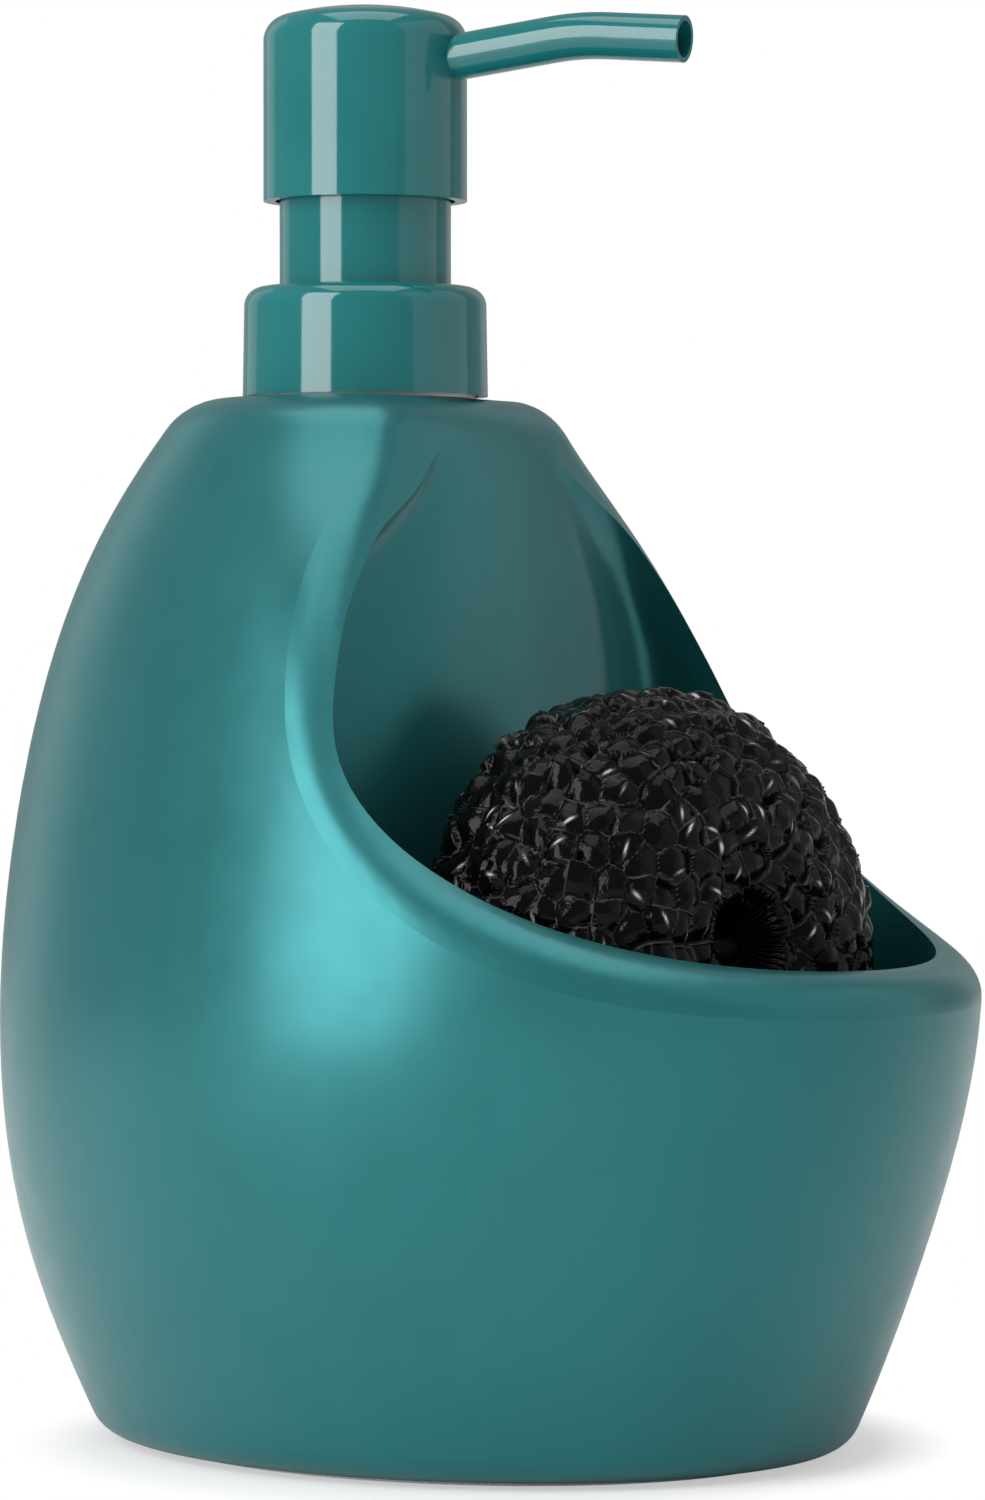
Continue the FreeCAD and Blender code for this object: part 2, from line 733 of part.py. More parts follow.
def collar_shell():
    """The glossy collar pressed over the inner cap."""
    inside = "collar_radius - collar_wall"
    top_radius = "collar_radius - collar_draft"
    hole = "sleeve_radius + running_gap"
    shell = turned("collar_shell", [
        (inside, "collar_foot_gap"), ("collar_radius", "collar_foot_gap"), (top_radius, COLLAR_TOP),
        (hole, COLLAR_TOP), (hole, CLOSURE_TOP), (inside + " - closure_chamfer", CLOSURE_TOP),
        (inside, CLOSURE_TOP + " - closure_chamfer")])
    soften(shell, "collar_edge", "collar_top_round", ring_at(top_radius, COLLAR_TOP))
    return shell


def neck_gasket():
    """The flat gasket between the neck and the pump's flange."""
    inside = "cylinder_radius + cylinder_wall + running_gap"
    return turned("neck_gasket", [(inside, NECK_TOP), ("gasket_radius", NECK_TOP),
                                  ("gasket_radius", GASKET_TOP), (inside, GASKET_TOP)])


def pump_housing():
    """The pump cylinder: its flange, bore, ball chamber with a conical seat, and dip tube socket."""
    outside = "cylinder_radius + cylinder_wall"
    chamber_wall = "chamber_radius + socket_wall"
    socket_wall = "dip_tube_radius + socket_wall"
    seat_top = SEAT_POINT + " + chamber_radius"
    seat_foot = SEAT_POINT + " + inlet_radius"
    return turned("pump_housing", [
        ("dip_tube_radius", SOCKET_FOOT), (socket_wall, SOCKET_FOOT), (socket_wall, SOCKET_TOP),
        (chamber_wall, seat_foot), (chamber_wall, CAGE_FOOT + " - cylinder_radius / 2"),
        (outside, CAGE_FOOT + " - cylinder_wall"), (outside, GASKET_TOP),
        ("pump_flange_radius", GASKET_TOP), ("pump_flange_radius", HOUSING_TOP),
        ("cylinder_radius", HOUSING_TOP), ("cylinder_radius", CAGE_FOOT), ("chamber_radius", CAGE_FOOT),
        ("chamber_radius", seat_top), ("inlet_radius", seat_foot), ("inlet_radius", SOCKET_TOP),
        ("dip_tube_radius", SOCKET_TOP)])


def ball_cage():
    """A holed disc over the ball chamber, which also seats the spring."""
    cage = turned("ball_cage", [("0", CAGE_FOOT), ("cylinder_radius", CAGE_FOOT),
                                ("cylinder_radius", CAGE_TOP), ("0", CAGE_TOP)])
    sketch = new_sketch(cage, "cage_hole", "XY_Plane")
    sketch.setExpression("AttachmentOffset.Base.z", bound(CAGE_TOP))
    centre = Vector(number("cage_hole_circle"), 0, 0)
    sketch.addGeometry(Part.Circle(centre, Vector(0, 0, 1), number("cage_hole_radius")))
    sketch.addConstraint(Sketcher.Constraint("PointOnObject", 0, 3, -1))
    place_pin(sketch, Sketcher.Constraint("DistanceX", -1, 1, 0, 3, centre.x), "cage_hole_circle")
    place_pin(sketch, Sketcher.Constraint("Radius", 0, number("cage_hole_radius")), "cage_hole_radius")
    doc.recompute()
    hole = cage.newObject("PartDesign::Pocket", "cage_holes_cut")
    hole.Profile = sketch
    bind(hole, Length="2 * cage_thickness")
    doc.recompute()
    holes = cage.newObject("PartDesign::PolarPattern", "cage_holes")
    holes.Originals = [hole]
    holes.Axis = (sketch, ["N_Axis"])
    holes.Angle = 360
    bind(holes, Occurrences="cage_holes_count")
    cage.Tip = holes
    doc.recompute()
    return cage


def valve_ball(label, radius, centre):
    """A valve ball on its conical seat."""
    ball = add("Part::Sphere", label, Radius=radius)
    place(ball, back="pump_set_back", up="top_height + " + centre)
    doc.recompute()
    return ball


def dip_tube():
    """The tube from the pump down to just above the tank's floor."""
    foot = "tank_floor + dip_tube_end_gap - top_height"
    return turned("dip_tube", [("dip_tube_bore", foot), ("dip_tube_radius", foot),
                               ("dip_tube_radius", SOCKET_TOP), ("dip_tube_bore", SOCKET_TOP)])


def guide_sleeve():
    """The glossy sleeve that the head slides down over, clamped by its flange."""
    inside = "sleeve_radius - sleeve_wall"
    top = HEAD_RIM + " + sleeve_overlap"
    return turned("guide_sleeve", [
        (inside, HOUSING_TOP), ("pump_flange_radius", HOUSING_TOP),
        ("pump_flange_radius", SLEEVE_FLANGE_TOP), ("sleeve_radius", SLEEVE_FLANGE_TOP),
        ("sleeve_radius", top), (inside, top)])


def stem_guide():
    """The bushing in the mouth of the cylinder that the stem slides through."""
    flange = "sleeve_radius - sleeve_wall - running_gap"
    flange_top = HOUSING_TOP + " + guide_flange"
    return turned("stem_guide", [
        (STEM_SLIDE, GUIDE_FOOT), ("cylinder_radius", GUIDE_FOOT), ("cylinder_radius", HOUSING_TOP),
        (flange, HOUSING_TOP), (flange, flange_top), ("guide_boss_radius", flange_top),
        ("guide_boss_radius", GUIDE_TOP), (STEM_SLIDE, GUIDE_TOP)])


def stem_wiper():
    """The soft ring on the guide that wipes the stem."""
    top = GUIDE_TOP + " + wiper_thickness"
    return turned("stem_wiper", [(STEM_SLIDE, GUIDE_TOP), ("guide_boss_radius", GUIDE_TOP),
                                 ("guide_boss_radius", top), (STEM_SLIDE, top)])


def piston_seal():
    """The piston, with two sealing lips, held between the stem's shoulder and its ring."""
    lip = "cylinder_radius - slide_gap"
    waist = lip + " - piston_waist"
    recess = "stem_ring_radius + running_gap"
    step = PISTON_TOP + " - stem_ring_height - 2 * face_gap"
    lower = PISTON_FOOT + " + piston_lip"
    higher = PISTON_TOP + " - piston_lip"
    return turned("piston_seal", [
        (STEM_SLIDE, PISTON_FOOT), (lip, PISTON_FOOT), (lip, lower), (waist, lower + " + piston_waist"),
        (waist, higher + " - piston_waist"), (lip, higher), (lip, PISTON_TOP), (recess, PISTON_TOP),
        (recess, step), (STEM_SLIDE, step)])


def stem():
    """The hollow stem: a shoulder under the piston, a ring above it, and the outlet seat at its top."""
    ring_foot = PISTON_TOP + " - stem_ring_height - face_gap"
    ring_top = PISTON_TOP + " - face_gap"
    seat_top = OUTLET_POINT + " + stem_chamber_radius"
    seat_foot = OUTLET_POINT + " + outlet_bore"
    neck = seat_foot + " - stem_bore"
    return turned("stem", [
        ("stem_bore", SHOULDER_FOOT), ("stem_shoulder_radius", SHOULDER_FOOT),
        ("stem_shoulder_radius", SHOULDER_TOP), ("stem_radius", SHOULDER_TOP), ("stem_radius", ring_foot),
        ("stem_ring_radius", ring_foot), ("stem_ring_radius", ring_top), ("stem_radius", ring_top),
        ("stem_radius", STEM_TOP), ("stem_chamber_radius", STEM_TOP), ("stem_chamber_radius", seat_top),
        ("outlet_bore", seat_foot), ("outlet_bore", neck),
        ("stem_bore", neck + " - stem_bore + outlet_bore")])


def helix_point(radius, pitch, turn):
    """A point of the spring's centre line and its direction, after so many turns."""
    angle = 2 * math.pi * turn
    point = Vector(radius * math.cos(angle), radius * math.sin(angle), pitch * turn)
    heading = Vector(-radius * math.sin(angle), radius * math.cos(angle), pitch / (2 * math.pi))
    return point, heading.normalize()


def arc_from(start, heading, end, length):
    """The arc that leaves start along heading and ends at end, whose tangents meet at length from both."""
    corner = start + heading * length
    middle = (start + end) / 2
    half_chord = (end - start).Length / 2
    cosine = half_chord / length
    rise = half_chord * math.sqrt((1 - cosine) / (1 + cosine))
    return Part.Arc(start, middle + (corner - middle).normalize() * rise, end).toShape()


def biarc(first, last):
    """Two tangent arcs between two points with given directions."""
    (start, leave), (end, arrive) = first, last
    span = end - start
    both = span.dot(leave + arrive)
    bend = 2 * (1 - leave.dot(arrive))
    length = (math.sqrt(both ** 2 + bend * span.dot(span)) - both) / bend
    joint = (start + leave * length + end - arrive * length) / 2
    return [arc_from(start, leave, joint, length), arc_from(end, arrive * -1, joint, length)]


def return_spring():
    """The coil spring between the cage and the stem's shoulder, as one unbroken tube of tangent arcs."""
    wire, radius = number("spring_wire"), number("spring_radius")
    foot, top = number(CAGE_TOP), number(SHOULDER_FOOT)
    margin = wire + number("face_gap")
    turns = number("spring_turns")
    pitch = (top - foot - 2 * margin) / turns
    quarters = int(round(4 * turns))
    marks = [helix_point(radius, pitch, turns * step / quarters) for step in range(quarters + 1)]
    arcs = []
    for first, last in zip(marks, marks[1:]):
        arcs += biarc(first, last)
    path = Part.Wire(Part.__sortEdges__(arcs))
    ring = Part.Wire(Part.Circle(marks[0][0], marks[0][1], wire).toShape())
    spring = doc.addObject("Part::Feature", "return_spring")
    spring.Shape = path.makePipeShell([ring], True, False)
    spring.Placement = Placement(Vector(0, number("pump_set_back"), number("top_height") + foot + margin),
                                 Rotation())
    print("least gap between the spring's turns", round(pitch - 2 * wire, 2), "mm")
    return spring


def spout_place():
    """The frame of the spout: its first axis points along the spout and its third up."""
    base = Vector(0, number("pump_set_back"), number("top_height + " + SPOUT_AXIS))
    return Placement(base, Rotation(Vector(0, 0, 1), number("spout_turn - 90")))


def spout_drill(name, radius, start, end):
    """A round rod along the rising root of the spout, between two distances from the pump axis."""
    rod = add("Part::Cylinder", name, Radius=radius, Height="(%s) - (%s)" % (end, start))
    along = Placement(Vector(0, 0, 0), Rotation(Vector(0, 1, 0), number("90 - spout_rise")))
    rod.Placement = spout_place() * along * Placement(Vector(0, 0, number(start)), Rotation())
    doc.recompute()
    return rod


def pump_head():
    """The domed head, hollow below, with a hole for the spout."""
    shell = turned("head_shell", [
        (HEAD_INSIDE, HEAD_RIM), ("head_radius", HEAD_RIM), ("head_radius", HEAD_EDGE, "head_dome_radius"),
        ("0", HEAD_TOP), ("0", HEAD_CEILING), (HEAD_INSIDE, HEAD_CEILING)])
    soften(shell, "head_edge", "head_edge_round", ring_at("head_radius", HEAD_EDGE))
    hole = spout_drill("head_spout_hole", "spout_radius", "head_radius / 2", "2 * head_radius")
    return boolean("Part::Cut", "pump_head", shell, hole)


def actuator_core():
    """The core inside the head: a socket for the stem, a channel, and a socket for the spout."""
    boss_foot = CORE_FOOT + " - core_boss_depth"
    core = turned("core_block", [
        ("stem_radius", boss_foot), ("core_boss_radius", boss_foot), ("core_boss_radius", CORE_FOOT),
        (HEAD_INSIDE, CORE_FOOT), (HEAD_INSIDE, HEAD_CEILING), ("0", HEAD_CEILING), ("0", SPOUT_AXIS),
        ("channel_radius", SPOUT_AXIS), ("channel_radius", STEM_TOP), ("stem_radius", STEM_TOP)])
    channel = spout_drill("core_channel", "channel_radius", "0", "spout_root + spout_radius")
    socket = spout_drill("core_socket", "spout_radius", "spout_root", "2 * head_radius")
    drilled = boolean("Part::Cut", "core_drilled", core, channel)
    return boolean("Part::Cut", "actuator_core", drilled, socket)


def spout_tube():
    """The bent spout: a rising run, one bend and a slightly falling tip."""
    body = doc.addObject("PartDesign::Body", "spout_tube")
    spine = new_sketch(body, "spout_spine")
    rise, fall = math.radians(number("spout_rise")), math.radians(number("spout_fall"))
    up, down = Vector(math.cos(rise), math.sin(rise), 0), Vector(math.cos(fall), -math.sin(fall), 0)
    bend_up = number("spout_bend_reach") * math.tan(rise)
    corner = Vector(number("spout_bend_reach"), bend_up, 0)
    tangent_length = number("spout_bend_radius") * math.tan((rise + fall) / 2)
    start = up * number("spout_root")
    leave, join = corner - up * tangent_length, corner + down * tangent_length
    end = corner + down * ((number("spout_reach") - corner.x) / math.cos(fall))
    centre = leave + Vector(up.y, -up.x, 0) * number("spout_bend_radius")
    middle = centre + (corner - centre).normalize() * number("spout_bend_radius")
    spine.addGeometry(Part.LineSegment(start, leave))
    spine.addGeometry(Part.Arc(leave, middle, join))
    spine.addGeometry(Part.LineSegment(join, end))
    spine.addConstraint(Sketcher.Constraint("Tangent", 0, 2, 1, 2))
    spine.addConstraint(Sketcher.Constraint("Tangent", 1, 1, 2, 1))
    place_pin(spine, Sketcher.Constraint("Radius", 1, number("spout_bend_radius")), "spout_bend_radius")
    place_pin(spine, Sketcher.Constraint("Angle", 0, rise), "spout_rise * 1 deg")
    place_pin(spine, Sketcher.Constraint("Angle", 2, -fall), "-spout_fall * 1 deg")
    place_pin(spine, Sketcher.Constraint("DistanceX", -1, 1, 0, 1, start.x),
              "spout_root * cos(spout_rise * 1 deg)")
    place_pin(spine, Sketcher.Constraint("DistanceY", -1, 1, 0, 1, start.y),
              "spout_root * sin(spout_rise * 1 deg)")
    place_pin(spine, Sketcher.Constraint("DistanceX", -1, 1, 2, 2, end.x), "spout_reach")
    tip_up = "spout_bend_reach * tan(spout_rise * 1 deg)"
    tip_up += " - (spout_reach - spout_bend_reach) * tan(spout_fall * 1 deg)"
    place_pin(spine, Sketcher.Constraint("DistanceY", -1, 1, 2, 2, end.y), tip_up)
    doc.recompute()
    ring = body.newObject("Sketcher::SketchObject", "spout_ring")
    ring.AttachmentSupport = [(spine, "Edge1")]
    ring.MapMode = "NormalToEdge"
    ring.MapPathParameter = 0
    for index, radius in enumerate(("spout_radius", "spout_radius - spout_wall")):
        ring.addGeometry(Part.Circle(Vector(0, 0, 0), Vector(0, 0, 1), number(radius)))
        ring.addConstraint(Sketcher.Constraint("Coincident", index, 3, -1, 1))
        place_pin(ring, Sketcher.Constraint("Radius", index, number(radius)), radius)
    doc.recompute()
    pipe = body.newObject("PartDesign::AdditivePipe", "spout_pipe")
    pipe.Profile = ring
    pipe.Spine = (spine, ["Edge1", "Edge2", "Edge3"])
    body.Placement = spout_place()
    doc.recompute()
    return body


def scrubber_place(body):
    """Stands a scrubber piece in the pocket, leaning back a little and turned to one side."""
    place(body, "-scrubber_aside", "-scrubber_ahead", "scrubber_height")
    lean = Rotation(Vector(1, 0, 0), number("90 - scrubber_lean"))
    body.Placement.Rotation = Rotation(Vector(0, 0, 1), number("-scrubber_turn")) * lean
    doc.recompute()
    return body


def scrubber():
    """The mesh scrubber as a plain dimpled ball with a gathered middle."""
    return scrubber_place(turned("scrubber", [
        ("scrubber_hole", "-scrubber_waist", "scrubber_crown_arc"),
        ("scrubber_crown", "-scrubber_half", "scrubber_rim_arc"),
        ("scrubber_radius", "-scrubber_rim_half"),
        ("scrubber_radius", "scrubber_rim_half", "scrubber_rim_arc"),
        ("scrubber_crown", "scrubber_half", "scrubber_crown_arc"),
        ("scrubber_hole", "scrubber_waist")]))


def scrubber_tie():
    """The tie through the middle of the scrubber that gathers it."""
    return scrubber_place(turned("scrubber_tie", [
        ("0", "-tie_half"), ("scrubber_hole", "-tie_half"),
        ("scrubber_hole", "tie_half"), ("0", "tie_half")]))


def check(items):
    """Stops if any object failed or any sub-part has no valid shape."""
    for item in doc.Objects:
        if "Invalid" in item.State or "Error" in item.State:
            raise RuntimeError("%s did not build: %s" % (item.Name, item.State))
    for item in items:
        if item.Shape.isNull() or not item.Shape.isValid() or len(item.Shape.Solids) != 1:
            raise RuntimeError("%s has no single valid solid" % item.Label)


nodes = [
    ceramic_body(), base_pad(), neck_plug(), plug_seal(), threaded_closure(), collar_shell(),
    neck_gasket(),
    pump_housing(), ball_cage(), valve_ball("inlet_ball", "ball_radius", BALL_CENTRE), dip_tube(),
    guide_sleeve(), stem_guide(), stem_wiper(), piston_seal(), stem(),
    valve_ball("outlet_ball", "outlet_ball_radius", OUTLET_CENTRE), return_spring(), pump_head(),
    actuator_core(), spout_tube(), scrubber(), scrubber_tie()]
check(nodes)
os.makedirs("parts", exist_ok=True)
for node in nodes:
    node.Shape.exportStep(os.path.join("parts", node.Label + ".step"))
    print(node.Label, round(node.Shape.Volume), len(node.Shape.Solids))
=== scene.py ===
import math

import bpy
import numpy as np
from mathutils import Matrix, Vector


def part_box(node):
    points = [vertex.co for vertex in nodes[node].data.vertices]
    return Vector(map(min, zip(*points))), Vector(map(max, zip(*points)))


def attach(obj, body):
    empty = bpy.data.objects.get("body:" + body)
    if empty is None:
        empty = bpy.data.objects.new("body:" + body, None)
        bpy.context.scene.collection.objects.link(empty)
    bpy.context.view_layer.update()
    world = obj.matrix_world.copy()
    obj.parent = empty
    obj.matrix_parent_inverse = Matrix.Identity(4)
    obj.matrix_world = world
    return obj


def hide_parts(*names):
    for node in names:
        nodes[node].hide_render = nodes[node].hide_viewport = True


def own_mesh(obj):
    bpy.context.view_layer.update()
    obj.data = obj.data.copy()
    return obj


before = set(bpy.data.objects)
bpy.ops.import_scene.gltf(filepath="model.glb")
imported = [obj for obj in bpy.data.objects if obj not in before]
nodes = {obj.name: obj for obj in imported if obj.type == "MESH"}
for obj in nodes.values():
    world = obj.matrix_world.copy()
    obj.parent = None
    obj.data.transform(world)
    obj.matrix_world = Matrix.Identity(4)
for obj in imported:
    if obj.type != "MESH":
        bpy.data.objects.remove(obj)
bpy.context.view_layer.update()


# Materials

def shader(name):
    """A new material, its node tree and its Principled shader."""
    material = bpy.data.materials.new(name)
    material.use_nodes = True
    tree = material.node_tree
    return material, tree, tree.nodes["Principled BSDF"]


def object_noise(tree, scale, detail=3.0, roughness=0.5):
    """A noise texture on the piece's own Object coordinates, so many cells to the metre."""
    place = tree.nodes.new("ShaderNodeTexCoord")
    noise = tree.nodes.new("ShaderNodeTexNoise")
    noise.inputs["Scale"].default_value = scale
    noise.inputs["Detail"].default_value = detail
    noise.inputs["Roughness"].default_value = roughness
    tree.links.new(place.outputs["Object"], noise.inputs["Vector"])
    return noise


def two_tones(tree, principled, source, first, second, start=0.35, end=0.65):
    """A base colour that passes from first to second as the noise goes from start to end."""
    ramp = tree.nodes.new("ShaderNodeValToRGB")
    ramp.color_ramp.elements[0].position = start
    ramp.color_ramp.elements[0].color = (*first, 1)
    ramp.color_ramp.elements[1].position = end
    ramp.color_ramp.elements[1].color = (*second, 1)
    tree.links.new(source.outputs["Fac"], ramp.inputs["Fac"])
    tree.links.new(ramp.outputs["Color"], principled.inputs["Base Color"])


def uneven_sheen(tree, principled, source, low, high, start=0.3, end=0.7):
    """A roughness that passes from low to high as the noise goes from start to end."""
    remap = tree.nodes.new("ShaderNodeMapRange")
    remap.inputs["From Min"].default_value = start
    remap.inputs["From Max"].default_value = end
    remap.inputs["To Min"].default_value = low
    remap.inputs["To Max"].default_value = high
    tree.links.new(source.outputs["Fac"], remap.inputs["Value"])
    tree.links.new(remap.outputs["Result"], principled.inputs["Roughness"])


def raised(tree, principled, source, strength, distance):
    """Bump from the noise, so many metres high."""
    bump = tree.nodes.new("ShaderNodeBump")
    bump.inputs["Strength"].default_value = strength
    bump.inputs["Distance"].default_value = distance
    tree.links.new(source.outputs["Fac"], bump.inputs["Height"])
    tree.links.new(bump.outputs["Normal"], principled.inputs["Normal"])


def satin_glaze():
    """Satin teal glaze: a faintly cloudy tone, an uneven, teal-tinted gloss and a slight ripple."""
    material, tree, principled = shader("satin_glaze")
    cloud = object_noise(tree, scale=38, detail=5, roughness=0.6)
    two_tones(tree, principled, cloud, (0.009, 0.072, 0.076), (0.012, 0.082, 0.087))
    uneven_sheen(tree, principled, object_noise(tree, scale=160), low=0.28, high=0.33)
    ripple = object_noise(tree, scale=250, detail=2)
    raised(tree, principled, ripple, strength=0.04, distance=0.0004)
    principled.inputs["Specular IOR Level"].default_value = 1.0
    principled.inputs["Specular Tint"].default_value = (0.22, 0.95, 1.0, 1)
    return material


def gloss_plastic():
    """High-gloss teal plastic with a very slight cloudiness and fine dust in its sheen."""
    material, tree, principled = shader("gloss_plastic")
    cloud = object_noise(tree, scale=60)
    two_tones(tree, principled, cloud, (0.006, 0.113, 0.117), (0.008, 0.125, 0.130))
    dust = object_noise(tree, scale=2500, detail=2)
    uneven_sheen(tree, principled, dust, low=0.06, high=0.11, start=0.4, end=0.75)
    return material


def moulded_white():
    """White moulded plastic with a fine grain."""
    material, tree, principled = shader("moulded_white")
    grain = object_noise(tree, scale=700)
    two_tones(tree, principled, grain, (0.78, 0.79, 0.79), (0.84, 0.85, 0.85))
    uneven_sheen(tree, principled, grain, low=0.38, high=0.5)
    raised(tree, principled, grain, strength=0.08, distance=0.0001)
    return material


def soft_seal():
    """Pale matt rubber."""
    material, tree, principled = shader("soft_seal")
    grain = object_noise(tree, scale=1100)
    two_tones(tree, principled, grain, (0.50, 0.50, 0.48), (0.58, 0.58, 0.56))
    uneven_sheen(tree, principled, grain, low=0.6, high=0.75)
    return material


def pale_pad():
    """Pale felt-like pad under the foot."""
    material, tree, principled = shader("pale_pad")
    fibre = object_noise(tree, scale=1500, detail=4, roughness=0.7)
    two_tones(tree, principled, fibre, (0.62, 0.62, 0.60), (0.78, 0.78, 0.76))
    principled.inputs["Roughness"].default_value = 0.85
    raised(tree, principled, fibre, strength=0.3, distance=0.0002)
    return material


def clear_tube():
    """Milky dip tube plastic."""
    material, tree, principled = shader("clear_tube")
    cloud = object_noise(tree, scale=200)
    two_tones(tree, principled, cloud, (0.70, 0.74, 0.74), (0.78, 0.80, 0.80))
    principled.inputs["Roughness"].default_value = 0.25
    return material


def bright_steel():
    """Drawn steel of the spring and the balls."""
    material, tree, principled = shader("bright_steel")
    grain = object_noise(tree, scale=900, detail=2)
    two_tones(tree, principled, grain, (0.52, 0.52, 0.53), (0.62, 0.62, 0.63))
    principled.inputs["Metallic"].default_value = 1
    uneven_sheen(tree, principled, grain, low=0.18, high=0.3)
    return material


def black_ribbon():
    """Glossy black plastic ribbon: thin greyer seams, pale painted glints that stand in for sparkles of
    light, an uneven sheen and fine creases.
    """
    material, tree, principled = shader("black_ribbon")
    mark = tree.nodes.new("ShaderNodeAttribute")
    mark.attribute_name = "seam_and_glint"
    ramp = tree.nodes.new("ShaderNodeValToRGB")
    ramp.color_ramp.elements[0].position = 0.3
    ramp.color_ramp.elements[0].color = (0.0020, 0.0016, 0.0016, 1)
    ramp.color_ramp.elements[1].position = 0.6
    ramp.color_ramp.elements[1].color = (0.050, 0.048, 0.050, 1)
    # the palest colour is painted highlight: the glints that stand in for sparkles of light
    ramp.color_ramp.elements.new(0.85).color = (0.42, 0.42, 0.45, 1)
    tree.links.new(mark.outputs["Fac"], ramp.inputs["Fac"])
    tree.links.new(ramp.outputs["Color"], principled.inputs["Base Color"])
    uneven_sheen(tree, principled, object_noise(tree, scale=420), low=0.05, high=0.14)
    raised(tree, principled, object_noise(tree, scale=700), strength=0.30, distance=0.0006)
    principled.inputs["Specular IOR Level"].default_value = 0.10
    return material


def black_thread():
    """Black thread that gathers the scrubber."""
    material, tree, principled = shader("black_thread")
    fibre = object_noise(tree, scale=1800)
    two_tones(tree, principled, fibre, (0.008, 0.007, 0.007), (0.02, 0.018, 0.018))
    principled.inputs["Roughness"].default_value = 0.6
    return material


def dress(piece, material):
    """Gives a piece one material."""
    piece.data.materials.clear()
    piece.data.materials.append(material)


steel = bright_steel()
FINISHES = {
    satin_glaze(): ["ceramic_body"],
    gloss_plastic(): ["collar_shell", "guide_sleeve", "pump_head", "spout_tube"],
    moulded_white(): ["neck_plug", "threaded_closure", "pump_housing", "ball_cage", "stem_guide",
                      "piston_seal", "stem", "actuator_core"],
    soft_seal(): ["plug_seal", "neck_gasket", "stem_wiper"],
    steel: ["inlet_ball", "outlet_ball", "return_spring"],
    pale_pad(): ["base_pad"],
    clear_tube(): ["dip_tube"],
}
for finish, names in FINISHES.items():
    for name in names:
        dress(nodes[name], finish)


# Pieces, in metres and radians

def new_piece(name, points, faces, body, material):
    """A smooth mesh piece from an array of points and a list of faces, riding on a body."""
    mesh = bpy.data.meshes.new(name)
    mesh.from_pydata(points.tolist(), [], faces)
    mesh.update()
    piece = bpy.data.objects.new(name, mesh)
    bpy.context.scene.collection.objects.link(piece)
    mesh.polygons.foreach_set("use_smooth", np.ones(len(mesh.polygons), bool))
    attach(piece, body)
    dress(piece, material)
    return piece


def capped_faces(rows, columns):
    """Faces of a tube of rows by columns points, closed by fans to the two points that follow them.

    The first of the two closes the first row, the second the last row.
    """
    row = np.arange(rows - 1)[:, None] * columns
    ring = np.arange(columns)
    after = np.roll(ring, -1)
    last, pole = (rows - 1) * columns, np.full(columns, rows * columns)
    wall = np.stack([row + ring, row + columns + ring, row + columns + after, row + after], axis=-1)
    start = np.stack([pole, ring, after], axis=-1)
    end = np.stack([pole + 1, last + after, last + ring], axis=-1)
    return wall.reshape(-1, 4).tolist() + start.tolist() + end.tolist()


scrub_low, scrub_high = (np.array(corner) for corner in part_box("scrubber"))
SCRUB_CENTRE = (scrub_low + scrub_high) / 2
SCRUB_TURN, SCRUB_LEAN = math.radians(12), math.radians(6)
SCRUB_RIGHT = np.array([math.cos(SCRUB_TURN), -math.sin(SCRUB_TURN), 0])
SCRUB_AHEAD = np.array([-math.sin(SCRUB_TURN) * math.cos(SCRUB_LEAN),
                        -math.cos(SCRUB_TURN) * math.cos(SCRUB_LEAN), math.sin(SCRUB_LEAN)])
SCRUB_UP = np.cross(SCRUB_AHEAD, SCRUB_RIGHT)

# Half section of the scrubber: radius and depth of the gather, the crown and the rim, and the arcs between
GATHER_RADIUS, GATHER_DEPTH = 0.0018, 0.0145
CROWN_RADIUS, CROWN_DEPTH, CROWN_ARC = 0.0130, 0.0200, 0.0140
RIM_RADIUS, RIM_DEPTH, RIM_ARC = 0.0340, 0.0050, 0.0260

# Knitted cells: their size, how far they stray (in cells), their slant, twist and height
CELL_WIDE, CELL_HIGH, FEWEST_IN_ROW = 0.0046, 0.0037, 8
CELL_STRAY, CELL_TILT, CELL_TWIST = 0.13, 0.16, 0.00035
CELL_LOWEST, CELL_HIGHEST = 0.0007, 0.0014
# Reach of a cell, the powers of its outline and of its pillow, and how far the pillow goes, in cells
CELL_REACH, OUTLINE_POWER, PILLOW_POWER, PILLOW_REACH = 2.6, 1.5, 1.35, 0.8
# Seams between cells: width in cells, height in metres and how strongly they are marked
SEAM_WIDTH, SEAM_HEIGHT, SEAM_MARK = 0.065, 0.00030, 0.6
# Painted glints, pale streaks standing in for sparkles: how many cells have one, their weakest mark, and
# their shift, width and length in cells
GLINT_SHARE, GLINT_WEAKEST = 0.45, 0.8
GLINT_SHIFT, GLINT_WIDTH, GLINT_LENGTH = 0.3, 0.085, 0.36
# Lowest and highest relief, and how far the whole skin is set in
RELIEF_LOW, RELIEF_HIGH, SKIN_INSET = -0.0009, 0.0015, 0.0009
# Pleats at the gathers: where they pass into the cells, their number, height and run-in
PLEAT_LENGTH, PLEAT_FADE = 0.0030, 0.0045
PLEAT_LINES, PLEAT_HEIGHT, PLEAT_RUN = 46, 0.00028, 0.0025
# Closing points: how far towards the middle a gather's lies, and how far from the middle the rim's
GATHER_SINK, LID_DEPTH = 0.35, 0.001

# Tie: radius, half length, the last ring's share of it, squareness of its ends, thread's height and winds
TIE_RADIUS, TIE_HALF, TIE_LAST, TIE_SQUARE = 0.0027, 0.0088, 0.995, 10
TIE_THREAD, TIE_WINDS = 0.00022, 26

SPRING_WIRE, SPRING_TURNS, PRESS = 0.0005, 7, 0.010


